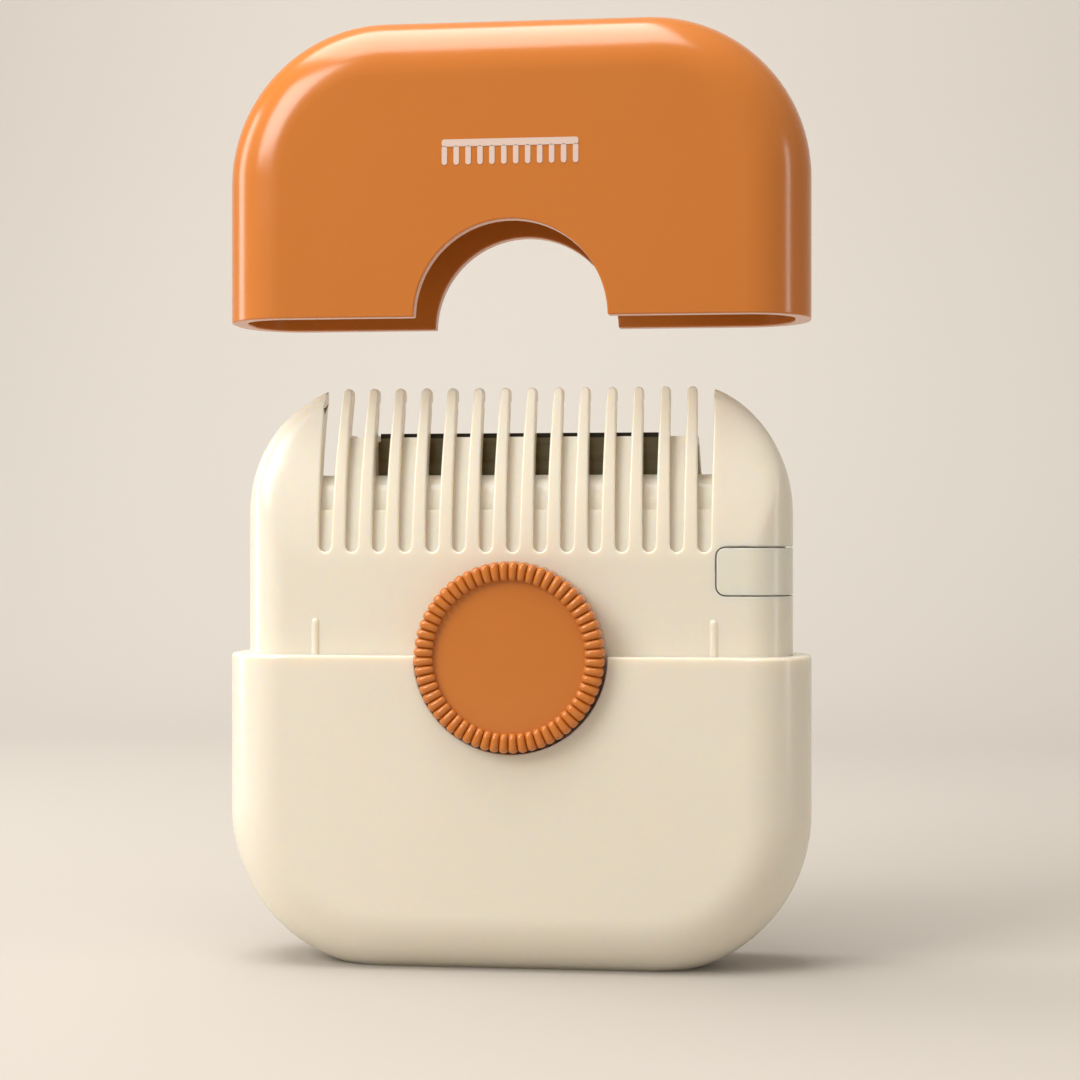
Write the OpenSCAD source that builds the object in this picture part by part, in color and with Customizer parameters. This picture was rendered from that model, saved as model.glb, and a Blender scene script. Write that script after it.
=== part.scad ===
// Razor-comb hair trimmer: a dial raises a blade behind the comb head, and a cap pulls off.
// +X is the latch side, -Y is the front with the dial, +Z is up. The origin is the middle of the base.
// The cap stands lifted off the head by cap_lift.

/* [Casing] */
// Width of the casing and the cap
body_w = 87; // [84:1:90]
// Depth of the casing and the cap between their faces
body_d = 22; // [21.6:0.2:22.4]
// Height with the cap closed
closed_h = 91; // [90.5:0.25:91.5]
// Corner radius of the outline
corner_r = 24; // [23:0.5:25]
// Rounding between the faces and the sides
edge_r = 9.5; // [9:0.25:10]
// Height of the step that the cap closes on
shoulder_z = 46.1; // [46:0.05:46.2]
// Wall thickness of the casing
wall = 2; // [1.9:0.05:2.1]
// How much of the rounded bottom is cut away for the flat base
base_cut = 1.2; // [1:0.1:1.4]

/* [Cap] */
// Wall thickness of the cap
cap_wall = 2.4; // [2.2:0.1:2.4]
// Gap between the cap and the head
cap_gap = 0.3; // [0.3:0.05:0.4]
// How far the cap stands above its closed place
cap_lift = 49.4; // [0:0.1:60]

/* [Comb] */
// Height of the teeth's tips
tip_z = 85.9; // [85.7:0.1:86.1]
// Distance between teeth
tooth_pitch = 4; // [3.9:0.05:4]
// Number of gaps between teeth
gap_count = 15; // [15]
// Width of a gap at its foot
gap_foot_w = 1.9; // [1.8:0.05:2]
// Width of a gap between the tips
gap_tip_w = 2.5; // [2.3:0.1:2.6]
// Height of the front slots' feet
front_slot_z = 61.3; // [61.2:0.1:61.5]
// Height of the rear slots' feet
rear_slot_z = 72.4; // [72.4:0.1:72.7]
// Height of the floor in the gaps that show the blade
window_z = 72.7; // [72.6:0.1:72.8]
// Height of the guards in the gaps between those
guard_z = 78.4; // [78.2:0.1:78.6]

/* [Blade] */
// Length of the double-edge blade
blade_l = 43; // [43]
// Width of the double-edge blade
blade_w = 22; // [22]
// Height of the blade's upper edge
blade_z = 79.1; // [79:0.1:79.2]
// Travel of the blade for half a turn of the dial
lift_per_half_turn = 4; // [3.6:0.1:4]

/* [Dial] */
// Radius of the dial over its beads
dial_r = 13.9; // [13.8:0.1:13.9]
// Number of beads round the dial
bead_count = 60; // [48:2:64]
// How far the dial stands out from the grip's front face
dial_proud = 2.5; // [2:0.25:3]

/* [Hidden] */
$fn = 64;
eps = 0.1;
big = 200;

cream = "blanchedalmond";
orange = "peru";
steel = "silver";
white = "whitesmoke";

// Head: the part of the casing that the cap covers
head_inset = cap_wall + cap_gap;
head_w = body_w - 2 * head_inset;
head_d = body_d - 2 * head_inset;
head_face = head_d / 2;
head_corner = corner_r - head_inset;
head_edge = edge_r - head_inset;
head_top = closed_h - head_inset;
body_face = body_d / 2;
parting_y = 0.5;

// The head's faces curve in to the tips as two large arcs
ogive_r = 55;
ogive_z = shoulder_z + 12.4;
ogive_face = head_face + 0.05;

// Floors of the front slots, as [y, z] points of large and small arcs
floor_foot = [-7.3, front_slot_z];
floor_top = [-3, guard_z];
floor_r = 55;
ramp_z = front_slot_z + 6.2;
ramp_y = 0.4;
ramp_r = 6.4;

// Spaces inside the casing
floor_z = 2;
ledge_z = shoulder_z - wall;
head_room_z = shoulder_z + 13.5;
blade_room_y = [-2.2, 2.6];
blade_room_x = 30.2;
blade_room_z = window_z + lift_per_half_turn + 0.5;
slit_x = 22.3;
slit_y = 0.5;
slit_z = blade_z + lift_per_half_turn + 0.7;
core_x = [32.5, 37.5];
core_y = 4.8;
core_z = shoulder_z + 26.5;

// The front comb is a row of bars, and the rear one is shorter
bar_t = 2.2;
comb_x = 31.5;
end_gap_x = tooth_pitch * (gap_count - 1) / 2;
rear_tip_z = blade_z - 0.1;

// Dial and cam
dial_z = shoulder_z;
pocket_r = 14.2;
shaft_r = 3;
shaft_bore_r = 3.05;
dial_back = head_face + 0.2;
dial_front = body_face + dial_proud;
inner_face = head_face - wall;
key_w = 3;
key_end = 4.3;
cam_screw_r = 0.7;
cam_r = 13.5;
cam_back = 3;
cam_front = 6;
groove_floor = 5;
groove_r = 7;
pin_r = 1.25;
pin_play = 0.05;
cam_rise = lift_per_half_turn / 180;
notch_count = 20;
notch_r = 0.8;
notch_depth = 0.4;

// Carriage, blade and clamp
carriage_x = 29.9;
carriage_y = [-2, -0.1];
carriage_low = shoulder_z + 10.5;
stem_x = 4.5;
stem_low = shoulder_z + 4.2;
blade_t = 0.1;
blade_mid = blade_z - blade_w / 2;
clamp_x = 21.8;
clamp_y = [0.1, 2.2];
clamp_low = shoulder_z + 12.9;
clamp_screw_x = 14;
clamp_seat_y = 1.2;
peg_r = 1.9;

// Side latch
latch_x = 29.8;
latch_z = [shoulder_z + 8.95, shoulder_z + 15.8];
latch_t = 1;
latch_play = 0.2;
latch_corner = 1.3;
rod_r = 1.5;
rod_y = 3.6;
rod_z = shoulder_z + 10.8;
rod_boss_x = 34;
rod_end = 26.1;
clip_x = 28;
clip_t = 1.2;
spring_turns = 4;
spring_r = 1.95;
spring_wire_r = 0.25;

// Blade door
door_x = 26;
door_z = [shoulder_z + 4.4, shoulder_z + 23.8];
door_play = 0.2;
door_inner_y = 5.3;
hinge_y = 7.3;
hinge_r = 0.5;
knuckle_r = 1;
lug_x = 22;
lug_y = 3;
lug_z = [rod_z - 2.5, rod_z + 2.5];

// Detent arm
detent_x = -14;
post_r = 1.2;
arm_t = 1.4;
arm_y = [-5.8, -3.4];
arm_end = 3;
nose_r = 0.8;
nose_z = dial_z - cam_r - 0.05 - nose_r;
detent_z = nose_z - 0.6;
shelf_z = [detent_z - 7.6, detent_z - 6];
coil_r = 0.8;
coil_wire_r = 0.15;

// Casing screws: [x, z] of each boss
screw_places = [[-26, 14], [26, 14], [-34, 38], [34, 38]];
screw_r = 1.1;
screw_clear_r = 1.4;
screw_head_r = 2.4;
screw_seat_y = 8.1;

// Friction ribs that hold the cap
rib_x = 29.4;
rib_r = 0.75;
rib_h = 5.6;
rib_out = 0.28;

// ---- general shapes ----

// A box given by its lowest and highest corners
module span(low, high) {
    translate(low) cube(high - low);
}

// A cylinder along Y, from y = low to y = high
module along_y(r, low, high, x = 0, z = 0) {
    translate([x, low, z]) rotate([-90, 0, 0]) cylinder(r = r, h = high - low);
}

// A cylinder along X, from x = low to x = high
module along_x(r, low, high, y = 0, z = 0) {
    translate([low, y, z]) rotate([0, 90, 0]) cylinder(r = r, h = high - low);
}

// A flat shape drawn in X and Z, extruded from y = low to y = high
module plate_y(low, high) {
    translate([0, high, 0]) rotate([90, 0, 0]) linear_extrude(high - low) children();
}

// A quarter of a disc, in the first quadrant
module quarter_disc(r) {
    intersection() {
        circle(r);
        square(r);
    }
}

// Level section of a slab: flat faces and rounded ends
module slab_section(w, d, edge) {
    square([w - 2 * edge, d], center = true);
    square([w, d - 2 * edge], center = true);
    for (x = [0, 1], y = [0, 1])
        mirror([x, 0]) mirror([0, y]) translate([w / 2 - edge, d / 2 - edge]) quarter_disc(edge);
}

// Section of the slab's rim, from the corner's centre outwards
module rim_section(corner, d, edge) {
    translate([0, -d / 2]) square([corner - edge, d]);
    translate([0, edge - d / 2]) square([corner, d - 2 * edge]);
    for (y = [0, 1]) mirror([0, y]) translate([corner - edge, d / 2 - edge]) quarter_disc(edge);
}

// A slab open at z = low, with a rounded outline and rounded edges at z = high
module half_pill(w, d, low, high, corner, edge) {
    translate([0, 0, low]) linear_extrude(high - corner - low) slab_section(w, d, edge);
    translate([0, 0, high - corner]) {
        rotate([0, -90, 0]) linear_extrude(w - 2 * corner, center = true) rim_section(corner, d, edge);
        for (side = [0, 1])
            mirror([side, 0, 0]) translate([w / 2 - corner, 0, 0]) rotate([90, 0, 0])
                rotate_extrude(angle = 90) rim_section(corner, d, edge);
    }
}

// The head's slab, drawn in from its outside by inset
module head_pill(inset = 0) {
    half_pill(head_w - 2 * inset, head_d - 2 * inset, ledge_z, head_top - inset, head_corner - inset,
        head_edge - inset);
}

// The grip's slab, drawn in by inset, from z = high down to its rounded bottom at z = low
module grip_pill(inset, low, high) {
    translate([0, 0, high]) mirror([0, 0, 1])
        half_pill(body_w - 2 * inset, body_d - 2 * inset, 0, high - low, corner_r - inset, edge_r - inset);
}

// A pan-head screw along Y with its seat at y = seat, its head towards +Y and a cross recess
module screw_y(shank_r, tip, seat, head_r, head_h, x, z) {
    difference() {
        union() {
            along_y(shank_r, tip, seat + eps, x, z);
            along_y(head_r, seat, seat + head_h, x, z);
        }
        for (turn = [0, 90])
            translate([x, seat + head_h, z]) rotate([0, turn, 0])
                cube([head_r * 1.2, head_h, head_r * 0.28], center = true);
    }
}

// A round wire wound along +Z from z = 0, with its ends inside the height h
module coil(r, wire_r, h, turns) {
    sides = 8;
    per_turn = 20;
    rings = turns * per_turn;
    rise = h - 2 * wire_r;
    points = [
        for (i = [0:rings], j = [0:sides - 1])
            let (a = i * 360 / per_turn, b = j * 360 / sides, out = r + wire_r * cos(b))
            [out * cos(a), out * sin(a), wire_r + rise * i / rings + wire_r * sin(b)]
    ];
    walls = [
        for (i = [0:rings - 1], j = [0:sides - 1])
            let (k = (j + 1) % sides)
            [i * sides + j, (i + 1) * sides + j, (i + 1) * sides + k, i * sides + k]
    ];
    ends = [[for (j = [0:sides - 1]) j], [for (j = [sides - 1:-1:0]) rings * sides + j]];
    polyhedron(points, concat(walls, ends));
}

// ---- casing ----

// Outside of the head: the slab between two large arcs, cut off at the tips
module head_outside() {
    intersection() {
        head_pill();
        union() {
            span([-big, -big, 0], [big, big, ogive_z]);
            intersection() {
                along_x(ogive_r, -big / 2, big / 2, ogive_r - ogive_face, ogive_z, $fn = 128);
                along_x(ogive_r, -big / 2, big / 2, ogive_face - ogive_r, ogive_z, $fn = 128);
                span([-big, -big, ogive_z], [big, big, tip_z]);
            }
        }
    }
}

// Outside of the grip, with a flat base
module grip_outside() {
    difference() {
        grip_pill(0, -base_cut, shoulder_z);
        span([-big, -big, -big], [big, big, 0]);
    }
}

// Hollow of the casing
module casing_room() {
    grip_pill(wall, floor_z, ledge_z);
    translate([0, 0, ledge_z - eps]) linear_extrude(head_room_z - ledge_z + eps)
        slab_section(head_w - 2 * wall, head_d - 2 * wall, head_edge - wall);
    span([-blade_room_x, blade_room_y[0], head_room_z - eps],
        [blade_room_x, blade_room_y[1], blade_room_z]);
    span([-slit_x, -slit_y, blade_room_z - eps], [slit_x, slit_y, slit_z]);
    for (side = [0, 1])
        mirror([side, 0, 0]) span([core_x[0], -core_y, head_room_z - eps], [core_x[1], core_y, core_z]);
}

// Outline of one gap of the comb: a round foot, and a rounded tip on each side of its mouth
function gap_outline(foot_z, top_z) = let (
    foot = gap_foot_w / 2,
    mouth = gap_tip_w / 2,
    tip = (tooth_pitch - gap_tip_w) / 2,
    half = concat(
        [for (a = [-90:15:0]) [foot * cos(a), foot_z + foot + foot * sin(a)]],
        [for (a = [180:-15:90]) [mouth + tip + tip * cos(a), top_z - tip + tip * sin(a)]],
        [[mouth + tip, top_z + 5]]
    ))
    concat(half, [for (i = [len(half) - 1:-1:1]) [-half[i][0], half[i][1]]]);

module comb_gaps(foot_z, top_z, low, high) {
    for (i = [0:gap_count - 1])
        translate([(i - (gap_count - 1) / 2) * tooth_pitch, 0, 0])
            plate_y(low, high) polygon(gap_outline(foot_z, top_z));
}

// Space behind the bars of the front comb, before its guards are put back
module bar_room() {
    intersection() {
        along_x(ogive_r - bar_t, -comb_x, comb_x, ogive_r - ogive_face, ogive_z, $fn = 128);
        span([-comb_x, -big, window_z], [comb_x, parting_y + eps, big]);
    }
}

// Centre of the circle of radius r through two points, on the +Y side of them
function arc_centre(p, q, r) = let (
    d = norm(q - p),
    side = [q[1] - p[1], p[0] - q[0]] / d
    ) (p + q) / 2 + side * sqrt(r * r - d * d / 4);

// What is left in the front slots: guards in every other gap, and lower rounded floors between them
module slot_floors() {
    c = arc_centre(floor_foot, floor_top, floor_r);
    intersection() {
        along_x(floor_r, -big / 2, big / 2, c[0], c[1], $fn = 128);
        union() {
            span([-big, -big, 0], [big, parting_y + 1, ramp_z]);
            intersection() {
                along_x(ramp_r, -big / 2, big / 2, ramp_y, ramp_z);
                span([-big, -big, ramp_z - eps], [big, ramp_y, window_z]);
            }
            for (i = [-3:3]) translate([i * 2 * tooth_pitch, 0, 0])
                span([-tooth_pitch / 2, -big, ramp_z - eps], [tooth_pitch / 2, -slit_y, guard_z]);
        }
    }
}

// The side latch's outline on the faces, grown by play
module latch_bar(play) {
    r = latch_corner + play;
    low = latch_z[0] - play;
    high = latch_z[1] + play;
    left = latch_x - play;
    plate_y(-big / 2, big / 2) {
        translate([left + r, low]) square([big / 2, high - low]);
        translate([left, low + r]) square([r + eps, high - low - 2 * r]);
        for (z = [low + r, high - r]) translate([left + r, z]) circle(r, $fn = 32);
    }
}

// Both halves of the casing before they part
module casing_body() {
    difference() {
        union() {
            grip_outside();
            head_outside();
        }
        casing_room();
        difference() {
            latch_bar(latch_play);
            head_pill(latch_t + eps);
        }
    }
}

// Round wall behind the dial's pocket in the grip
module pocket_wall() {
    intersection() {
        along_y(pocket_r + wall, -body_face + wall - eps, -inner_face, 0, dial_z);
        span([-big, -big, 0], [big, big, ledge_z + eps]);
    }
}

module screw_posts(r, low, high) {
    for (p = screw_places) along_y(r, low, high, p[0], p[1]);
}

// A rounded upright rib that rubs on the cap
module cap_rib(side) {
    y = -head_face - rib_out + rib_r;
    translate([side * rib_x, y, shoulder_z - eps]) cylinder(r = rib_r, h = rib_h + eps - rib_r, $fn = 32);
    translate([side * rib_x, y, shoulder_z + rib_h - rib_r]) sphere(rib_r, $fn = 32);
}

module front_shell() {
    color(cream) difference() {
        union() {
            intersection() {
                casing_body();
                span([-big, -big, -1], [big, parting_y, big]);
            }
            pocket_wall();
            screw_posts(3, -body_face + wall - eps, parting_y);
            along_y(2, -body_face + wall - eps, arm_y[0] - eps, detent_x, detent_z);
            along_y(post_r, arm_y[0] - 2 * eps, arm_y[1] + eps, detent_x, detent_z);
            span([-3, -body_face + wall - eps, shelf_z[0]], [3, arm_y[1], shelf_z[1]]);
            for (side = [-1, 1]) cap_rib(side);
        }
        along_y(pocket_r, -body_face - 1, -head_face, 0, dial_z);
        along_y(shaft_bore_r, -body_face, 0, 0, dial_z);
        for (p = screw_places) along_y(screw_r, -5.2, parting_y + eps, p[0], p[1]);
        along_y(0.7, -7, 0, detent_x, detent_z);
        difference() {
            union() {
                comb_gaps(front_slot_z, tip_z, -body_face - 1, parting_y + eps);
                bar_room();
            }
            slot_floors();
        }
    }
}

module rear_shell() {
    color(cream) difference() {
        union() {
            intersection() {
                casing_body();
                span([-big, parting_y, -1], [big, big, big]);
            }
            screw_posts(3.6, parting_y, body_face - wall + eps);
            intersection() {
                span([rod_boss_x, parting_y, rod_z - 3], [head_w / 2, head_face, rod_z + 3]);
                head_pill(wall - eps);
            }
        }
        for (p = screw_places) {
            along_y(screw_clear_r, 0, body_face + 1, p[0], p[1]);
            along_y(screw_head_r + 0.3, screw_seat_y, body_face + 1, p[0], p[1]);
        }
        comb_gaps(rear_slot_z, rear_tip_z, parting_y - eps, body_face + 1);
        span([-comb_x, parting_y - eps, rear_tip_z], [comb_x, body_face, closed_h]);
        for (side = [0, 1])
            mirror([side, 0, 0]) span([end_gap_x, parting_y - eps, window_z], [comb_x, body_face, closed_h]);
        span([-door_x - door_play, blade_room_y[1] - eps, door_z[0] - knuckle_r - door_play],
            [door_x + door_play, body_face, door_z[1] + door_play]);
        along_x(hinge_r, -door_x - 2, door_x + 2, hinge_y, door_z[0]);
        along_x(rod_r + 0.05, rod_boss_x - 1, body_w / 2, rod_y, rod_z);
    }
}

module casing_screws() {
    color(steel) for (p = screw_places)
        screw_y(screw_r, -5, screw_seat_y, screw_head_r, 1.7, p[0], p[1]);
}

// ---- cap ----

module cap() {
    seat = shoulder_z + eps;
    color(orange) translate([0, 0, cap_lift]) difference() {
        half_pill(body_w, body_d, seat, closed_h, corner_r, edge_r);
        half_pill(body_w - 2 * cap_wall, body_d - 2 * cap_wall, seat - 1, closed_h - cap_wall,
            corner_r - cap_wall, edge_r - cap_wall);
        along_y(pocket_r, -body_d, body_d, 0, dial_z);
    }
}

// ---- dial ----

// The rim's outline: one round bead after another
function bead_ring(r, depth, steps = 6) = [
    for (i = [0:bead_count * steps - 1])
        let (a = i * 360 / (bead_count * steps), s = r - depth + depth * abs(cos(a * bead_count / 2)))
        [s * cos(a), s * sin(a)]
];

module dial() {
    lip_r = 11;
    color(orange) translate([0, 0, dial_z]) rotate([90, 0, 0]) difference() {
        union() {
            translate([0, 0, dial_back]) linear_extrude(dial_front - 1.6 - dial_back)
                polygon(bead_ring(dial_r, 0.5));
            translate([0, 0, dial_back]) rotate_extrude() polygon([
                [0, 0], [dial_r - 0.6, 0], [dial_r - 0.6, dial_front - dial_back - 1.8],
                [lip_r + 0.9, dial_front - dial_back - 0.1], [lip_r + 0.3, dial_front - dial_back],
                [lip_r - 0.3, dial_front - dial_back - 0.9], [0, dial_front - dial_back - 1.2]
            ]);
            translate([0, 0, cam_front + eps]) cylinder(r = shaft_r, h = dial_back - cam_front);
            translate([-key_w / 2, -key_w / 2, key_end])
                cube([key_w, key_w, cam_front + 2 * eps - key_end]);
        }
        translate([0, 0, key_end - 1]) cylinder(r = cam_screw_r, h = 6.5, $fn = 32);
    }
}

// One side of the cam groove, square to a spiral whose radius changes evenly with the angle from +Z
function groove_outline(from, to, side) = [
    for (a = [from:4:to])
        let (r = groove_r - cam_rise * a, slope = atan(cam_rise * 180 / PI / r))
        let (half = side * (pin_r + pin_play))
        [r * sin(a) + half * sin(a + slope), r * cos(a) + half * cos(a + slope)]
];

module cam_disc() {
    low = -180 - 12;
    high = 90 + 18;
    color(white) translate([0, 0, dial_z]) rotate([90, 0, 0]) difference() {
        translate([0, 0, cam_back]) cylinder(r = cam_r, h = cam_front - cam_back);
        translate([0, 0, cam_back - 1]) linear_extrude(groove_floor - cam_back + 1) {
            outer = groove_outline(low, high, 1);
            inner = groove_outline(low, high, -1);
            polygon(concat(outer, [for (i = [len(inner) - 1:-1:0]) inner[i]]));
        }
        translate([-key_w / 2 - 0.05, -key_w / 2 - 0.05, cam_back]) cube([key_w + 0.1, key_w + 0.1, 5]);
        translate([0, 0, cam_back - 1]) cylinder(r = 2.5, h = 2.2, $fn = 48);
        for (i = [0:notch_count - 1]) rotate(i * 360 / notch_count - 90)
            translate([cam_r + notch_r - notch_depth, 0, cam_back - 1])
                cylinder(r = notch_r, h = 5, $fn = 24);
    }
}

module cam_screw() {
    color(steel) screw_y(cam_screw_r, -9.5, -key_end + 0.1, 2.2, 1, 0, dial_z);
}

module thrust_washer() {
    color(steel) difference() {
        along_y(5.5, -inner_face + 0.02, -cam_front - 0.04, 0, dial_z);
        along_y(shaft_r + 0.2, -body_face, 0, 0, dial_z);
    }
}

// ---- carriage ----

module blade_carriage() {
    color(cream) difference() {
        union() {
            span([-carriage_x, carriage_y[0], carriage_low], [carriage_x, carriage_y[1], window_z]);
            span([-stem_x, carriage_y[0], stem_low], [stem_x, carriage_y[1], carriage_low + eps]);
            for (side = [-1, 1])
                along_y(peg_r, carriage_y[1] - eps, clamp_y[0] - 0.02, side * clamp_screw_x, blade_mid);
        }
        for (side = [-1, 1]) along_y(0.8, -1.8, 1, side * clamp_screw_x, blade_mid);
        along_y(pin_r, -3, -0.9, 0, dial_z + groove_r);
    }
}

module blade() {
    notch = [0.7, 2.4];
    color(steel) difference() {
        span([-blade_l / 2, -blade_t / 2, blade_z - blade_w], [blade_l / 2, blade_t / 2, blade_z]);
        span([-15, -1, blade_mid - 0.9], [15, 1, blade_mid + 0.9]);
        for (x = [-clamp_screw_x, clamp_screw_x]) along_y(2, -1, 1, x, blade_mid);
        along_y(2.6, -1, 1, 0, blade_mid);
        for (x = [-1, 1], z = [-1, 1])
            translate([x * blade_l / 2, 0, blade_mid + z * blade_w / 2])
                cube([notch[0], 1, notch[1]], center = true);
    }
}

module blade_clamp() {
    color(white) difference() {
        span([-clamp_x, clamp_y[0], clamp_low], [clamp_x, clamp_y[1], window_z]);
        for (side = [-1, 1]) {
            along_y(0.9, 0, 3, side * clamp_screw_x, blade_mid);
            along_y(2.1, clamp_seat_y, 3, side * clamp_screw_x, blade_mid);
        }
    }
}

module clamp_screws() {
    color(steel) for (side = [-1, 1])
        screw_y(0.8, -1.6, clamp_seat_y, 1.9, 0.9, side * clamp_screw_x, blade_mid);
}

module follower_pin() {
    color(steel) along_y(pin_r, -groove_floor + 0.15, -0.9, 0, dial_z + groove_r);
}

// ---- side latch ----

// The rod, whose outer end follows the latch's curve and sits in a shallow socket there
module rod_shape() {
    intersection() {
        union() {
            along_x(rod_r, rod_end + 0.8, body_w / 2, rod_y, rod_z);
            translate([rod_end + 0.8, rod_y, rod_z]) rotate([0, -90, 0])
                cylinder(r1 = rod_r, r2 = 0.7, h = 0.8);
        }
        head_pill(latch_t / 2);
    }
}

module side_latch() {
    color(cream) difference() {
        intersection() {
            head_outside();
            latch_bar(0);
        }
        head_pill(latch_t);
        rod_shape();
    }
}

module latch_rod() {
    color(steel) rod_shape();
}

module latch_clip() {
    color(steel) difference() {
        along_x(2.4, clip_x, clip_x + clip_t, rod_y, rod_z);
        along_x(rod_r, 0, big, rod_y, rod_z);
    }
}

module latch_spring() {
    play = 0.05;
    low = clip_x + clip_t + play;
    color(steel) translate([low, rod_y, rod_z]) rotate([0, 90, 0])
        coil(spring_r, spring_wire_r, rod_boss_x - low - play, spring_turns);
}

// ---- blade door ----

module blade_door() {
    color(cream) difference() {
        union() {
            intersection() {
                head_outside();
                span([-door_x, door_inner_y, door_z[0]], [door_x, body_face, door_z[1]]);
            }
            along_x(knuckle_r, -door_x, door_x, hinge_y, door_z[0]);
            span([lug_x, lug_y, lug_z[0]], [door_x, door_inner_y + eps, lug_z[1]]);
        }
        along_x(hinge_r + 0.05, -door_x - 1, door_x + 1, hinge_y, door_z[0]);
        along_x(0.9, door_x - 0.8, door_x + 1, rod_y, rod_z);
        along_x(4, -8, 8, head_face + 3.2, door_z[1] - 1);
    }
}

module hinge_pin() {
    color(steel) along_x(hinge_r, -door_x - 2, door_x + 2, hinge_y, door_z[0]);
}

// ---- detent ----

module detent_arm() {
    low = detent_z - arm_t / 2;
    color(white) difference() {
        union() {
            along_y(post_r + 1, arm_y[0], arm_y[1], detent_x, detent_z);
            span([detent_x, arm_y[0], low], [arm_end, arm_y[1], low + arm_t]);
            along_y(nose_r, arm_y[0], arm_y[1], 0, nose_z);
        }
        along_y(post_r + 0.05, -body_face, 0, detent_x, detent_z);
    }
}

module detent_spring() {
    play = 0.05;
    color(steel) translate([0, (arm_y[0] + arm_y[1]) / 2, shelf_z[1] + play])
        coil(coil_r, coil_wire_r, detent_z - arm_t / 2 - shelf_z[1] - 2 * play, 6);
}

module detent_screw() {
    color(steel) screw_y(0.7, -6.8, arm_y[1] + eps, 2, 1, detent_x, detent_z);
}

front_shell();
rear_shell();
casing_screws();
hinge_pin();
cap();
dial();
cam_disc();
cam_screw();
thrust_washer();
blade_carriage();
blade();
blade_clamp();
clamp_screws();
follower_pin();
side_latch();
latch_rod();
latch_clip();
latch_spring();
blade_door();
detent_arm();
detent_screw();
detent_spring();
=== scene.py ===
"""Looks for the razor-comb hair trimmer: cream casing with a comb, orange beaded dial and orange cap."""

import math

import bmesh
import bpy
import numpy as np
from mathutils import Matrix, Vector


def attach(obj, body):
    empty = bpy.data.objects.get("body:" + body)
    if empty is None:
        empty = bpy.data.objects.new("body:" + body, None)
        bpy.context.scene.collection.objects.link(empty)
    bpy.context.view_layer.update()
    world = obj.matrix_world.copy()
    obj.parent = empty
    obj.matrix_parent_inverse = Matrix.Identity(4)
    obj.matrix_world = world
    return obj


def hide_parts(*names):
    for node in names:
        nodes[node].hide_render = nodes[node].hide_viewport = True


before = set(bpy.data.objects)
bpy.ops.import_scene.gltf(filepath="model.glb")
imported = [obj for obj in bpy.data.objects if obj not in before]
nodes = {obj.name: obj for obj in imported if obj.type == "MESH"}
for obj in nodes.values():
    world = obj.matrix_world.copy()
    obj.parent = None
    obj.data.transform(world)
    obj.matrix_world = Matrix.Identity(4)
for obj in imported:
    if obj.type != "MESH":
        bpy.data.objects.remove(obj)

MM = 0.001
X, Y, Z = range(3)
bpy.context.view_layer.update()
scene = bpy.context.scene
scene.view_settings.view_transform = "Standard"


def add_object(name, data):
    obj = bpy.data.objects.new(name, data)
    scene.collection.objects.link(obj)
    return obj


def add_mesh(name, bm, material):
    """Turns bm into an object of one material."""
    mesh = bpy.data.meshes.new(name)
    bm.to_mesh(mesh)
    bm.free()
    mesh.materials.append(material)
    return add_object(name, mesh)


# ---------------------------------------------------------------- camera, light and stage

# The camera stands level, a little to the right of the front
AZIMUTH = math.radians(6.8)
DISTANCE = 320 * MM
AIM = Vector((3.1, 0, 63.05)) * MM
VIEW_WIDTH_AT_AIM = 162 * MM
SENSOR_WIDTH = 36

SKY_COLOUR = (1.0, 0.94, 0.85, 1)
SKY_STRENGTH = 0.42
LAMP_COLOUR = (1, 0.985, 0.965)
LAMP_TARGET = Vector((0, 0, 0.07))
# Name: (place, width and height, watts)
LAMPS = {
    "key": ((-0.46, -0.42, 0.46), (0.36, 0.36), 3.75),
    "left strip": ((-0.45, 0.07, 0.12), (0.11, 0.50), 0.8),
    "right strip": ((0.45, -0.08, 0.12), (0.05, 0.30), 0.25),
    "top": ((-0.12, -0.04, 0.62), (0.50, 0.40), 4.1),
}

# The stage in metres: the floor runs in Y, then curves up into the wall
FLOOR_FRONT, FLOOR_BACK = -0.9, 0.35
CURVE_RADIUS = 0.25
CURVE_STEPS = 12
WALL_TOP = 1.4
STAGE_HALF_WIDTH = 1.6


def add_camera():
    data = bpy.data.cameras.new("camera")
    data.sensor_width = SENSOR_WIDTH
    data.lens = SENSOR_WIDTH * DISTANCE / VIEW_WIDTH_AT_AIM
    data.clip_start = 0.01
    cam = add_object("camera", data)
    back = Vector((math.sin(AZIMUTH), -math.cos(AZIMUTH), 0))
    cam.location = AIM + back * DISTANCE
    cam.rotation_euler = (math.pi / 2, 0, AZIMUTH)
    scene.camera = cam


def add_light():
    world = bpy.data.worlds.new("studio")
    scene.world = world
    world.use_nodes = True
    sky = world.node_tree.nodes["Background"]
    sky.inputs["Color"].default_value = SKY_COLOUR
    sky.inputs["Strength"].default_value = SKY_STRENGTH
    for name, (place, size, watts) in LAMPS.items():
        data = bpy.data.lights.new(name, "AREA")
        data.shape = "RECTANGLE"
        data.size, data.size_y = size
        data.energy = watts
        data.color = LAMP_COLOUR
        lamp = add_object(name, data)
        lamp.location = place
        lamp.rotation_euler = (LAMP_TARGET - Vector(place)).to_track_quat("-Z", "Y").to_euler()


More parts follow.
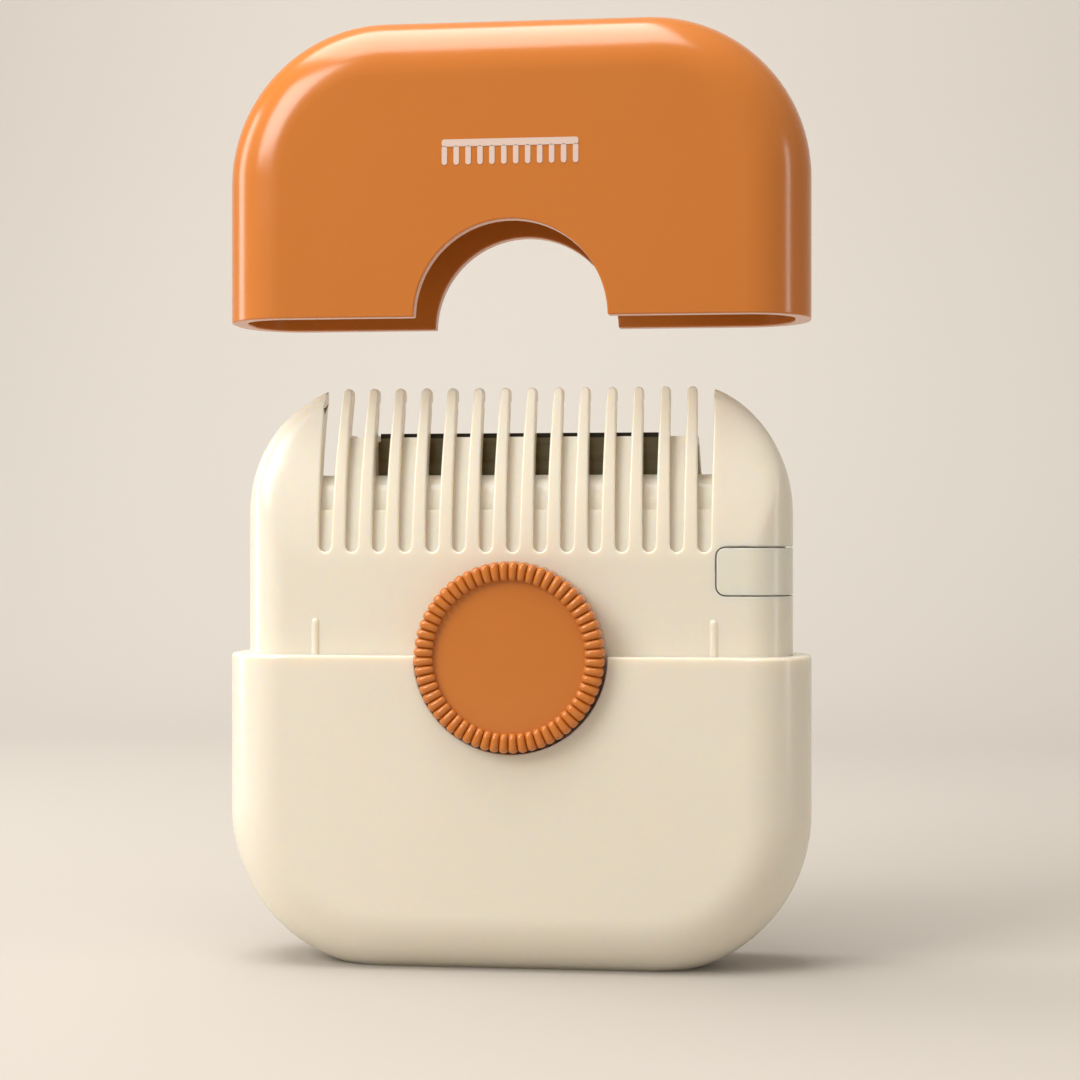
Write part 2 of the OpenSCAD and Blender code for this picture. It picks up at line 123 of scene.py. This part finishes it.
def add_stage():
    """A pale floor that curves up into a backdrop behind the part."""
    bm = bmesh.new()
    profile = [(FLOOR_FRONT, 0.0), (FLOOR_BACK, 0.0)]
    for i in range(1, CURVE_STEPS + 1):
        a = math.pi / 2 * i / CURVE_STEPS
        out, up = CURVE_RADIUS * math.sin(a), CURVE_RADIUS - CURVE_RADIUS * math.cos(a)
        profile.append((FLOOR_BACK + out, up))
    profile.append((FLOOR_BACK + CURVE_RADIUS, WALL_TOP))
    rows = [[bm.verts.new((x, y, z)) for x in (-STAGE_HALF_WIDTH, STAGE_HALF_WIDTH)] for y, z in profile]
    for a, b in zip(rows, rows[1:]):
        bm.faces.new((a[0], a[1], b[1], b[0])).smooth = True
    floor = add_mesh("floor", bm, stage_material())


# ---------------------------------------------------------------- materials

# Plastic: how deep light scatters, and the height and strength of its surface grain
SCATTER_DEPTH = 2 * MM
GRAIN_HEIGHT = 0.02 * MM
GRAIN_STRENGTH = 0.02


def node_material(name):
    mat = bpy.data.materials.new(name)
    mat.use_nodes = True
    return mat, mat.node_tree, mat.node_tree.nodes["Principled BSDF"]


def object_place(tree):
    return tree.nodes.new("ShaderNodeTexCoord").outputs["Object"]


def along_axis(tree, axis):
    """How far a point lies along an axis of the object."""
    parts = tree.nodes.new("ShaderNodeSeparateXYZ")
    tree.links.new(object_place(tree), parts.inputs["Vector"])
    return parts.outputs[axis]


def noise(tree, scale, detail, rough=0.5, place=None):
    n = tree.nodes.new("ShaderNodeTexNoise")
    n.inputs["Scale"].default_value = scale
    n.inputs["Detail"].default_value = detail
    n.inputs["Roughness"].default_value = rough
    tree.links.new(place or object_place(tree), n.inputs["Vector"])
    return n.outputs["Fac"]


def ramp(tree, source, low, high, start=0.3, end=0.7):
    """Runs from low where source is start to high where it is end."""
    r = tree.nodes.new("ShaderNodeMapRange")
    r.inputs["From Min"].default_value = start
    r.inputs["From Max"].default_value = end
    r.inputs["To Min"].default_value = low
    r.inputs["To Max"].default_value = high
    tree.links.new(source, r.inputs["Value"])
    return r.outputs["Result"]


def mix_colour(tree, factor, a, b):
    """a and b are colours, or sockets that carry one."""
    m = tree.nodes.new("ShaderNodeMix")
    m.data_type = "RGBA"
    for name, value in (("A", a), ("B", b)):
        if isinstance(value, tuple):
            m.inputs[name].default_value = (*value, 1)
        else:
            tree.links.new(value, m.inputs[name])
    tree.links.new(factor, m.inputs["Factor"])
    return m.outputs["Result"]


def plastic(name, dark, light, rough, scatter=0.0, radius=(1, 0.6, 0.3)):
    """Moulded plastic: faint flow mottling, fine surface grain, and light that scatters a little inside."""
    mat, tree, bsdf = node_material(name)
    cloud = ramp(tree, noise(tree, 55, 3), 0, 1)
    tree.links.new(mix_colour(tree, cloud, dark, light), bsdf.inputs["Base Color"])
    smear = ramp(tree, noise(tree, 220, 4), rough - 0.01, rough + 0.015)
    tree.links.new(smear, bsdf.inputs["Roughness"])
    grain = tree.nodes.new("ShaderNodeBump")
    grain.inputs["Strength"].default_value = GRAIN_STRENGTH
    grain.inputs["Distance"].default_value = GRAIN_HEIGHT
    tree.links.new(noise(tree, 5200, 2), grain.inputs["Height"])
    tree.links.new(grain.outputs["Normal"], bsdf.inputs["Normal"])
    bsdf.inputs["IOR"].default_value = 1.5
    bsdf.inputs["Subsurface Weight"].default_value = scatter
    bsdf.inputs["Subsurface Radius"].default_value = radius
    bsdf.inputs["Subsurface Scale"].default_value = SCATTER_DEPTH
    return mat


def metal(name, dark, light, rough=0.3):
    """Drawn or grind-finished steel with fine streaks along X."""
    mat, tree, bsdf = node_material(name)
    stretch = tree.nodes.new("ShaderNodeMapping")
    stretch.inputs["Scale"].default_value = (0.03, 1, 1)
    tree.links.new(object_place(tree), stretch.inputs["Vector"])
    streak = noise(tree, 900, 3, 0.6, stretch.outputs["Vector"])
    colour = mix_colour(tree, ramp(tree, streak, 0, 1), dark, light)
    tree.links.new(colour, bsdf.inputs["Base Color"])
    tree.links.new(ramp(tree, streak, rough - 0.08, rough + 0.08), bsdf.inputs["Roughness"])
    bsdf.inputs["Metallic"].default_value = 1.0
    return mat, tree, bsdf, colour


def blade_material():
    """Dull olive steel, darker along its upper edge."""
    mat, tree, bsdf, colour = metal("blade_steel", (0.17, 0.145, 0.085), (0.23, 0.20, 0.125), 0.34)
    # Darker from 78.3 mm up, along the blade's upper edge
    upper_band = ramp(tree, along_axis(tree, "Z"), 0, 1, 78.3 * MM, 78.5 * MM)
    edged = mix_colour(tree, upper_band, colour, (0.05, 0.045, 0.035))
    tree.links.new(edged, bsdf.inputs["Base Color"])
    return mat


def stage_material():
    """Pale matt paper; the floor in front of the backdrop gets a little painted shade, as the lamps light it from
    above.
    """
    mat, tree, bsdf = node_material("stage")
    cloud = ramp(tree, noise(tree, 3, 2), 0, 1)
    paper = mix_colour(tree, cloud, (0.64, 0.605, 0.56), (0.655, 0.62, 0.575))
    # Painted shade: the floor is darker up to Y 0.05 m and fades to the plain paper by Y 0.6 m
    near = ramp(tree, along_axis(tree, "Y"), 1, 0, 0.05, 0.60)
    tree.links.new(mix_colour(tree, near, paper, (0.455, 0.42, 0.375)), bsdf.inputs["Base Color"])
    bsdf.inputs["Roughness"].default_value = 0.75
    return mat


cream = plastic("cream_plastic", (0.765, 0.712, 0.605), (0.772, 0.719, 0.613), 0.24, 0.8, (1, 0.7, 0.36))
orange = plastic("orange_plastic", (0.540, 0.166, 0.024), (0.548, 0.170, 0.0255), 0.2, 0.1, (1, 0.35, 0.12))
white = plastic("white_plastic", (0.74, 0.71, 0.64), (0.78, 0.75, 0.69), 0.45, 0.1)
ink = plastic("printed_mark", (0.66, 0.50, 0.43), (0.69, 0.53, 0.46), 0.4)
steel = metal("steel", (0.50, 0.50, 0.51), (0.66, 0.66, 0.67))[0]
blade_steel = blade_material()

FINISH = {
    cream: ["front_shell", "rear_shell", "side_latch", "blade_door", "blade_carriage"],
    orange: ["cap", "dial"],
    white: ["cam_disc", "blade_clamp", "detent_arm"],
    blade_steel: ["blade"],
    steel: ["casing_screws", "hinge_pin", "cam_screw", "thrust_washer", "clamp_screws", "follower_pin",
            "latch_rod", "latch_clip", "latch_spring", "detent_screw", "detent_spring"],
}
for material, names in FINISH.items():
    for name in names:
        for slot in nodes[name].material_slots:
            slot.material = material

# ---------------------------------------------------------------- outer surfaces, in millimetres

SHOULDER = 46.1
# Above OGIVE_Z the head's front and back curve together. Each is an arc of radius OGIVE_R, centred OGIVE_IN
# beyond the middle
OGIVE_Z = 58.5
OGIVE_R = 55
OGIVE_IN = 46.65
SOFT_CREASE = 2.4
# The comb's bars and gaps lie within this distance of the middle
COMB_X = 30.2
# Points this close together count as level or touching
TOUCH = 0.01
FLAT = math.radians(0.3)
SHARP = math.radians(30)


def ogive(y, z):
    """Signed distance from the head's arcs."""
    return np.hypot(np.abs(y) + OGIVE_IN, np.maximum(z - OGIVE_Z, 0)) - OGIVE_R


class Slab:
    """A slab with a rounded outline in X and Z and rounded edges; up is 1 if its round corners are on top."""

    def __init__(self, half_w, half_d, corner, edge, centre_z, up, soft_ogive=False):
        self.half_w, self.half_d, self.corner, self.edge = half_w, half_d, corner, edge
        self.centre_z, self.up, self.soft_ogive = centre_z, up, soft_ogive

    def plain(self, p):
        """Signed distance of points from the slab without its ogive, less than 0 inside."""
        x, y, z = p.T
        straight = self.half_w - self.corner
        vx = x - np.clip(x, -straight, straight)
        vz = np.maximum(self.up * (z - self.centre_z), 0)
        out = np.hypot(vx, vz) - self.corner + self.edge
        front = np.abs(y) - self.half_d + self.edge
        inside = np.minimum(np.maximum(out, front), 0)
        return np.hypot(np.maximum(out, 0), np.maximum(front, 0)) + inside - self.edge

    def hard(self, p):
        """Signed distance from the CAD's surface, which has a crease where the ogive meets the slab."""
        slab = self.plain(p)
        return np.maximum(slab, ogive(p[:, Y], p[:, Z])) if self.soft_ogive else slab

    def away(self, p):
        """Signed distance from the soft surface, where that crease is blended."""
        slab = self.plain(p)
        if not self.soft_ogive:
            return slab
        arc = ogive(p[:, Y], p[:, Z])
        face = np.sqrt(OGIVE_R ** 2 - np.maximum(p[:, Z] - OGIVE_Z, 0) ** 2) - OGIVE_IN
        k = np.clip(self.half_d - face, 0.01, SOFT_CREASE)
        h = np.maximum(k - np.abs(slab - arc), 0) / k
        return np.maximum(slab, arc) + h * h * k / 4

    def slope(self, p):
        """Unit normals at points."""
        steps = np.eye(3) * 0.01
        g = np.stack([self.away(p + d) - self.away(p - d) for d in steps], axis=1)
        return g / np.maximum(np.linalg.norm(g, axis=1, keepdims=True), 1e-9)


HEAD = Slab(40.8, 8.3, 21.3, 6.8, 67.0, 1, soft_ogive=True)
GRIP = Slab(43.5, 11, 24, 9.5, 22.8, -1)
CAP = Slab(43.5, 11, 24, 9.5, 116.4, 1)


def casing_parts(p):
    """(slab, which points it covers); a point level with the shoulder goes to the nearer slab."""
    z = p[:, Z]
    level = np.abs(z - SHOULDER) < 0.02
    head = (z > SHOULDER) & ~level
    head[level] = np.abs(HEAD.away(p[level])) < np.abs(GRIP.away(p[level]))
    return [(HEAD, head), (GRIP, ~head)]


def cap_parts(p):
    return [(CAP, np.ones(len(p), bool))]


def exact_surface(p, parts):
    """(unit normals, distance) of points from the soft surface."""
    normals, away = np.empty(p.shape), np.empty(len(p))
    for slab, mask in parts(p):
        normals[mask] = slab.slope(p[mask])
        away[mask] = np.abs(slab.away(p[mask]))
    return normals, away


# ---------------------------------------------------------------- softened copies of the outer shells

# The bevel puts its own faces in this slot, so that they can be told apart until they are shaded
BEVEL_SLOT = 1


def renumber(bm):
    bm.normal_update()
    for group in (bm.verts, bm.edges, bm.faces):
        group.index_update()


def cad_copy(node):
    """A CAD node in millimetres, with the triangles of its flat faces joined."""
    bm = bmesh.new()
    bm.from_mesh(nodes[node].data)
    bmesh.ops.scale(bm, vec=(1 / MM,) * 3, verts=bm.verts)
    bmesh.ops.remove_doubles(bm, verts=bm.verts, dist=0.001)
    bmesh.ops.dissolve_limit(bm, angle_limit=FLAT, verts=bm.verts, edges=bm.edges)
    return bm


def cut_faces(bm, cuts):
    """Cuts large faces so that they can bend. A cut is (axis, low, high, step).

    Cuts across X and Y stay above the ogive's foot, and those across Y stay beside the comb."""
    for axis, low, high, step in cuts:
        normal = Vector((0, 0, 0))
        normal[axis] = 1
        for i in range(int((high - low) / step) + 1):
            faces = [f for f in bm.faces if axis == Z or all(v.co.z > OGIVE_Z for v in f.verts)]
            if axis == Y:
                faces = [f for f in faces if all(abs(v.co.x) > COMB_X - TOUCH for v in f.verts)]
            verts = dict.fromkeys(v for f in faces for v in f.verts)
            edges = dict.fromkeys(e for f in faces for e in f.edges)
            bmesh.ops.bisect_plane(bm, geom=[*verts, *edges, *faces], dist=0.0005,
                                   plane_co=normal * (low + i * step), plane_no=normal)


def pull_on(p, parts, near=0.04):
    """Moves the points that lie on the CAD's surface onto the soft one.

    On the front and back they move only along Y, so that the comb's outline stays as it is."""
    for slab, mask in parts(p):
        q = p[mask]
        on = np.abs(slab.hard(q)) < near
        for _ in range(6):
            away, slope = slab.away(q[on]), slab.slope(q[on])
            # 1 where the surface looks sideways or up, falling to 0 where it looks forward or back
            sideways = np.clip((0.7 - np.abs(slope[:, [Y]])) / 0.4, 0, 1)
            way = slope * np.where([True, False, True], sideways, 1)
            q[on] -= away[:, None] * way / (way * slope).sum(axis=1, keepdims=True)
        p[mask] = q


def outer_faces(bm, p, parts, near=0.05, turn=0.85):
    """Indices of the faces that lie on the soft surface."""
    exact, away = exact_surface(p, parts)
    outer = set()
    for f in bm.faces:
        ids = [v.index for v in f.verts]
        if (away[ids] < near).all() and (exact[ids] @ np.array(f.normal) > turn).all():
            outer.add(f.index)
    return outer


def drop_slants(bm, outer, bands, near=0.03):
    """Joins the comb's outside faces across slanting edges, which would turn into dark slivers when bevelled.

    Between the heights of each band it joins them across level edges too. Returns the new outer faces."""
    outside = bm.faces.layers.int.new("outside")
    for f in bm.faces:
        f[outside] = f.index in outer
    slants = []
    for e in bm.edges:
        a, b = (v.co for v in e.verts)
        low, high = min(a.z, b.z), max(a.z, b.z)
        inner, reach = sorted((abs(a.x), abs(b.x)))
        if len(e.link_faces) != 2 or not all(f[outside] for f in e.link_faces):
            continue
        if inner > COMB_X - TOUCH or reach > COMB_X + TOUCH:
            continue
        if low < OGIVE_Z - TOUCH or high < OGIVE_Z + TOUCH:
            continue
        slanting = abs(a.x - b.x) > near and abs(a.z - b.z) > near
        if slanting or any(foot < low and high < top for foot, top in bands):
            slants.append(e)
    bmesh.ops.dissolve_edges(bm, edges=slants, use_verts=False)
    loose = [v for v in bm.verts if len(v.link_edges) == 2 and all(f[outside] for f in v.link_faces)]
    loose = [v for v in loose if abs(v.co.x) < COMB_X - TOUCH and v.co.z > OGIVE_Z]
    bmesh.ops.dissolve_verts(bm, verts=loose)
    renumber(bm)
    return {f.index for f in bm.faces if f[outside]}


def weigh_edges(bm, outer, weights):
    """Gives each sharp edge its share of the rounding. Without weights, every convex one has the whole."""
    layer = bm.edges.layers.float.new("bevel_weight_edge")
    for e in bm.edges:
        if len(e.link_faces) != 2 or e.calc_face_angle() < SHARP:
            continue
        if e.is_convex and weights is None:
            e[layer] = 1
        elif e.is_convex and len(outer & {f.index for f in e.link_faces}) == 1:
            e[layer] = weights((e.verts[0].co + e.verts[1].co) / 2)
        e.smooth = e[layer] > 0


def add_rounding(obj, width):
    bevel = obj.modifiers.new("round", "BEVEL")
    bevel.width = width
    bevel.segments = 3
    bevel.use_clamp_overlap = False
    bevel.miter_outer = "MITER_ARC"
    shade = obj.modifiers.new("shade", "WEIGHTED_NORMAL")
    shade.weight = 60
    return bevel, shade


def shade_as(mesh, parts, near=0.06, turn=0.9, bevel_turn=0.8):
    """Gives the corners on the outside the normals of the soft surface."""
    p = np.empty(len(mesh.vertices) * 3)
    mesh.vertices.foreach_get("co", p)
    exact, away = exact_surface(p.reshape(-1, 3), parts)
    corners = np.empty(len(mesh.loops) * 3, np.float32)
    mesh.corner_normals.foreach_get("vector", corners)
    corners = corners.reshape(-1, 3)
    vertex_of = np.empty(len(mesh.loops), np.int32)
    mesh.loops.foreach_get("vertex_index", vertex_of)
    outside = np.zeros(len(mesh.vertices), bool)
    bevelled = [poly for poly in mesh.polygons if poly.material_index == BEVEL_SLOT]
    for poly in mesh.polygons:
        if poly.material_index == BEVEL_SLOT:
            continue
        span = slice(poly.loop_start, poly.loop_start + poly.loop_total)
        ids = vertex_of[span]
        if (away[ids] < near).all() and (exact[ids] @ np.array(poly.normal) > turn).all():
            corners[span] = exact[ids]
            outside[ids] = True
    for poly in bevelled:
        for k in range(poly.loop_start, poly.loop_start + poly.loop_total):
            v = vertex_of[k]
            if outside[v] and exact[v] @ np.array(poly.normal) > bevel_turn:
                corners[k] = exact[v]
        poly.material_index = 0
    mesh.normals_split_custom_set(corners.tolist())


def softened(name, node, material, parts, width, cuts=(), bands=(), weights=None):
    """A copy of a CAD node with its sharp edges rounded and its outside shaded as the smooth slab it is."""
    bm = cad_copy(node)
    cut_faces(bm, cuts)
    p = np.array([v.co for v in bm.verts])
    pull_on(p, parts)
    for v, co in zip(bm.verts, p):
        v.co = co
    renumber(bm)
    outer = outer_faces(bm, p, parts)
    if cuts:
        outer = drop_slants(bm, outer, bands)
    weigh_edges(bm, outer, weights)
    for f in bm.faces:
        f.smooth = True
        f.material_index = 0
    obj = add_mesh(name, bm, material)
    obj.data.materials.append(material)
    bevel, shade = add_rounding(obj, width)
    bevel.limit_method = "WEIGHT"
    bevel.material = BEVEL_SLOT
    shade.keep_sharp = True
    bpy.context.view_layer.update()
    depsgraph = bpy.context.evaluated_depsgraph_get()
    baked = bpy.data.meshes.new_from_object(obj.evaluated_get(depsgraph))
    obj.modifiers.clear()
    obj.data = baked
    shade_as(baked, parts)
    baked.materials.pop()
    baked.transform(Matrix.Scale(MM, 4))
    return obj


PARTING_Y = 0.5
# The seam's groove round the grip stops at GROOVE_TOP, short of the shoulder. The crests of the head's two upper
# corners start at CREST_FOOT
GROOVE_TOP = 45
CREST_FOOT = 72
TEETH_FOOT = SHOULDER + 14
# Edges past these belong to the latch's opening, the door's opening and the screws' recesses
LATCH_X, LATCH_LOW, LATCH_TOP = 29.4, 54, 63
DOOR_Y, DOOR_HALF_W, DOOR_TOP = 3, 26.5, 70.5
RECESS_Y = 5

# The head's first cut ends the seam's groove, and the others let the head bend. Those across Z start at FIRST_CUT,
# just above the ogive's foot
FIRST_CUT = 58.6
HEAD_CUTS = [
    (Z, GROOVE_TOP, GROOVE_TOP, 1),
    (Z, FIRST_CUT, 84.8, 0.9),
    (X, COMB_X, HEAD.half_w, 0.8),
    (X, -COMB_X - 10.4, -COMB_X + 0.1, 0.8),
    (Y, -7.8, HEAD.half_d, 0.8),
]
TAB_CUTS = [(Z, FIRST_CUT, 62, 0.9), (X, COMB_X, HEAD.half_w, 0.8)]
# Heights between which drop_slants joins faces across level edges too
FRONT_BANDS = [(OGIVE_Z, 63), (84.6, 90)]
REAR_BANDS = [(71.9, 74.6), (77.8, 90)]

# Shares of the full rounding
LEDGE, TEETH, REST, OPENING, SEAM = 1.0, 0.62, 0.3, 0.24, 0.12


def casing_weights(m):
    """Share of the full rounding for a sharp edge of the outside with its middle at m."""
    if abs(m.z - SHOULDER) < 0.05:
        return LEDGE
    if abs(m.x) > COMB_X + 0.1 and m.z > CREST_FOOT:
        return 0
    if abs(m.y - PARTING_Y) < 0.02:
        return 0 if GROOVE_TOP < m.z < SHOULDER else SEAM
    if m.y > RECESS_Y and m.z < SHOULDER:
        return 0
    at_latch = m.x > LATCH_X and LATCH_LOW < m.z < LATCH_TOP
    at_door = m.y > DOOR_Y and abs(m.x) < DOOR_HALF_W and m.z < DOOR_TOP
    if at_latch or at_door:
        return OPENING
    return TEETH if m.z > TEETH_FOOT else REST


def panel_weights(m):
    return SEAM if abs(m.y - PARTING_Y) < 0.02 else 1.0


front = softened("front_case", "front_shell", cream, casing_parts, 0.5, HEAD_CUTS, FRONT_BANDS, casing_weights)
rear = softened("rear_case", "rear_shell", cream, casing_parts, 0.5, HEAD_CUTS, REAR_BANDS, casing_weights)
tab = softened("latch_tab", "side_latch", cream, casing_parts, 0.12, TAB_CUTS, weights=panel_weights)
door = softened("door_panel", "blade_door", cream, casing_parts, 0.15, weights=panel_weights)
hood = softened("cap_shell", "cap", orange, cap_parts, 0.25)
for piece, body, node, slot in [
    (front, "casing", "front_shell", "cream_plastic"),
    (rear, "casing", "rear_shell", "cream_plastic"),
    (tab, "latch", "side_latch", "cream_plastic"),
    (door, "door", "blade_door", "cream_plastic"),
    (hood, "cap", "cap", "orange_plastic"),
]:
    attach(piece, body)
    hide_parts(node)

# ---------------------------------------------------------------- dial, in millimetres

DIAL_Z = 46.1
BEADS = 60
POINTS_PER_BEAD = 12
RIM_IN, RIM_OUT = 11.0, 13.9
FLOOR_Y, CREST_Y = -12.35, -13.5
# Between two beads the rim draws in by these and keeps this share of its height
DIP_IN, DIP_OUT = 0.35, 0.5
DIP_HEIGHT = 0.35
# Below 1, this makes the rim's section squarer than a circle
RIM_POWER = 0.75
KEY_HALF = 1.5
SOCKET_R = 0.7
DIAL_SHARP = math.radians(60)


def rim_point(a, bulge):
    """(y, radius) on the beaded rim at angle a, from 180 inside to 0 outside.

    bulge is 1 on the crest of a bead and 0 between two beads."""
    inner = RIM_IN + DIP_IN * (1 - bulge)
    outer = RIM_OUT - DIP_OUT * (1 - bulge)
    height = (FLOOR_Y - CREST_Y) * (DIP_HEIGHT + (1 - DIP_HEIGHT) * bulge)
    c, s = math.cos(math.radians(a)), math.sin(math.radians(a))
    r = (inner + outer) / 2 + (outer - inner) / 2 * math.copysign(abs(c) ** RIM_POWER, c)
    return FLOOR_Y - height * abs(s) ** RIM_POWER, r


def dial_ring(row, bulge, a):
    """(y, radius) of one of the dial's rings."""
    kind, value = row
    if kind == "rim":
        return rim_point(value, bulge)
    if kind == "side":
        return value, RIM_OUT - DIP_OUT * (1 - bulge)
    if kind == "key":
        return value, KEY_HALF / max(abs(math.cos(a)), abs(math.sin(a)))
    return value


# From the sunk, slightly crowned centre, over the rim and down the side, to the key and the screw's socket behind
DIAL_ROWS = (
    [("plain", (FLOOR_Y - crown, r)) for crown, r in ((0.06, 0.5), (0.05, 6), (0.02, 10))]
    + [("rim", 180 - i * 10) for i in range(18)]
    + [("side", y) for y in (-12.2, -11, -9.8, -9)]
    + [("plain", p) for p in ((-8.6, 13.4), (-8.5, 13.1), (-8.5, 3), (-6, 3))]
    + [("key", -6), ("key", -4.3), ("plain", (-4.3, SOCKET_R)), ("plain", (-9.8, SOCKET_R))]
)


def add_dial():
    count = BEADS * POINTS_PER_BEAD
    bm = bmesh.new()
    loops = []
    for row in DIAL_ROWS:
        loop = []
        for i in range(count):
            a = 2 * math.pi * i / count
            u = 2 * (i % POINTS_PER_BEAD) / POINTS_PER_BEAD - 1
            y, r = dial_ring(row, math.sqrt(1 - u * u), a)
            loop.append(bm.verts.new((r * math.sin(a), y, r * math.cos(a))))
        loops.append(loop)
    for a, b in zip(loops, loops[1:]):
        for i in range(count):
            j = (i + 1) % count
            bm.faces.new((a[i], a[j], b[j], b[i]))
    bm.faces.new(loops[0][::-1])
    bm.faces.new(loops[-1])
    bmesh.ops.recalc_face_normals(bm, faces=bm.faces)
    for v in bm.verts:
        v.co.z += DIAL_Z
        v.co *= MM
    for f in bm.faces:
        f.smooth = True
    for e in bm.edges:
        if len(e.link_faces) == 2 and e.calc_face_angle() > DIAL_SHARP:
            e.smooth = False
    obj = add_mesh("beaded_dial", bm, orange)
    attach(obj, "dial")
    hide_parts("dial")


add_dial()

# ---------------------------------------------------------------- mark on the cap, in millimetres

MARK_Z = 119.5
MARK_W = 20
MARK_TEETH = 12
# Heights above MARK_Z, and the radius of the corners
SPINE_LOW, SPINE_TOP, SPINE_ROUND = 0.8, 1.85, 0.4
TOOTH_LOW, TOOTH_TOP, TOOTH_ROUND = -1.85, 0.9, 0.38
TOOTH_HALF_W = 0.4
# The mark starts inside the cap's wall and stands proud of its face
MARK_BACK_Y, MARK_FACE_Y = -10.9, -11.07


def add_bar(bm, x0, x1, z0, z1, r):
    """An upright bar with rounded corners."""
    corners = ((x1 - r, z1 - r, 0), (x0 + r, z1 - r, 90), (x0 + r, z0 + r, 180), (x1 - r, z0 + r, 270))
    points = []
    for cx, cz, start in corners:
        for a in (math.radians(start + 15 * k) for k in range(7)):
            points.append((cx + r * math.cos(a), cz + r * math.sin(a)))
    back, face = [[bm.verts.new((x, y, z)) for x, z in points] for y in (MARK_BACK_Y, MARK_FACE_Y)]
    bm.faces.new(face)
    bm.faces.new(back[::-1])
    for k in range(len(points)):
        j = (k + 1) % len(points)
        bm.faces.new((back[k], back[j], face[j], face[k]))


def add_mark():
    """A small generic comb, printed on the cap's front."""
    bm = bmesh.new()
    add_bar(bm, -MARK_W / 2, MARK_W / 2, MARK_Z + SPINE_LOW, MARK_Z + SPINE_TOP, SPINE_ROUND)
    pitch = (MARK_W - 2 * TOOTH_HALF_W) / (MARK_TEETH - 1)
    for i in range(MARK_TEETH):
        x = -MARK_W / 2 + TOOTH_HALF_W + i * pitch
        low, high = MARK_Z + TOOTH_LOW, MARK_Z + TOOTH_TOP
        add_bar(bm, x - TOOTH_HALF_W, x + TOOTH_HALF_W, low, high, TOOTH_ROUND)
    bmesh.ops.recalc_face_normals(bm, faces=bm.faces)
    bmesh.ops.scale(bm, vec=(MM,) * 3, verts=bm.verts)
    obj = add_mesh("comb_mark", bm, ink)
    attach(obj, "cap")


add_mark()

# ---------------------------------------------------------------- rounded edges on CAD nodes


def soften(node, width):
    """Rounds a CAD node's sharp edges by width in millimetres and smooths the rest."""
    obj = nodes[node]
    weld = obj.modifiers.new("weld", "WELD")
    weld.merge_threshold = 0.001 * MM
    flat = obj.modifiers.new("flat", "DECIMATE")
    flat.decimate_type = "DISSOLVE"
    flat.angle_limit = FLAT
    bevel, _ = add_rounding(obj, width * MM)
    bevel.limit_method = "ANGLE"
    bevel.angle_limit = SHARP


soften("blade_carriage", 0.15)
soften("blade_clamp", 0.12)

add_camera()
add_light()
add_stage()
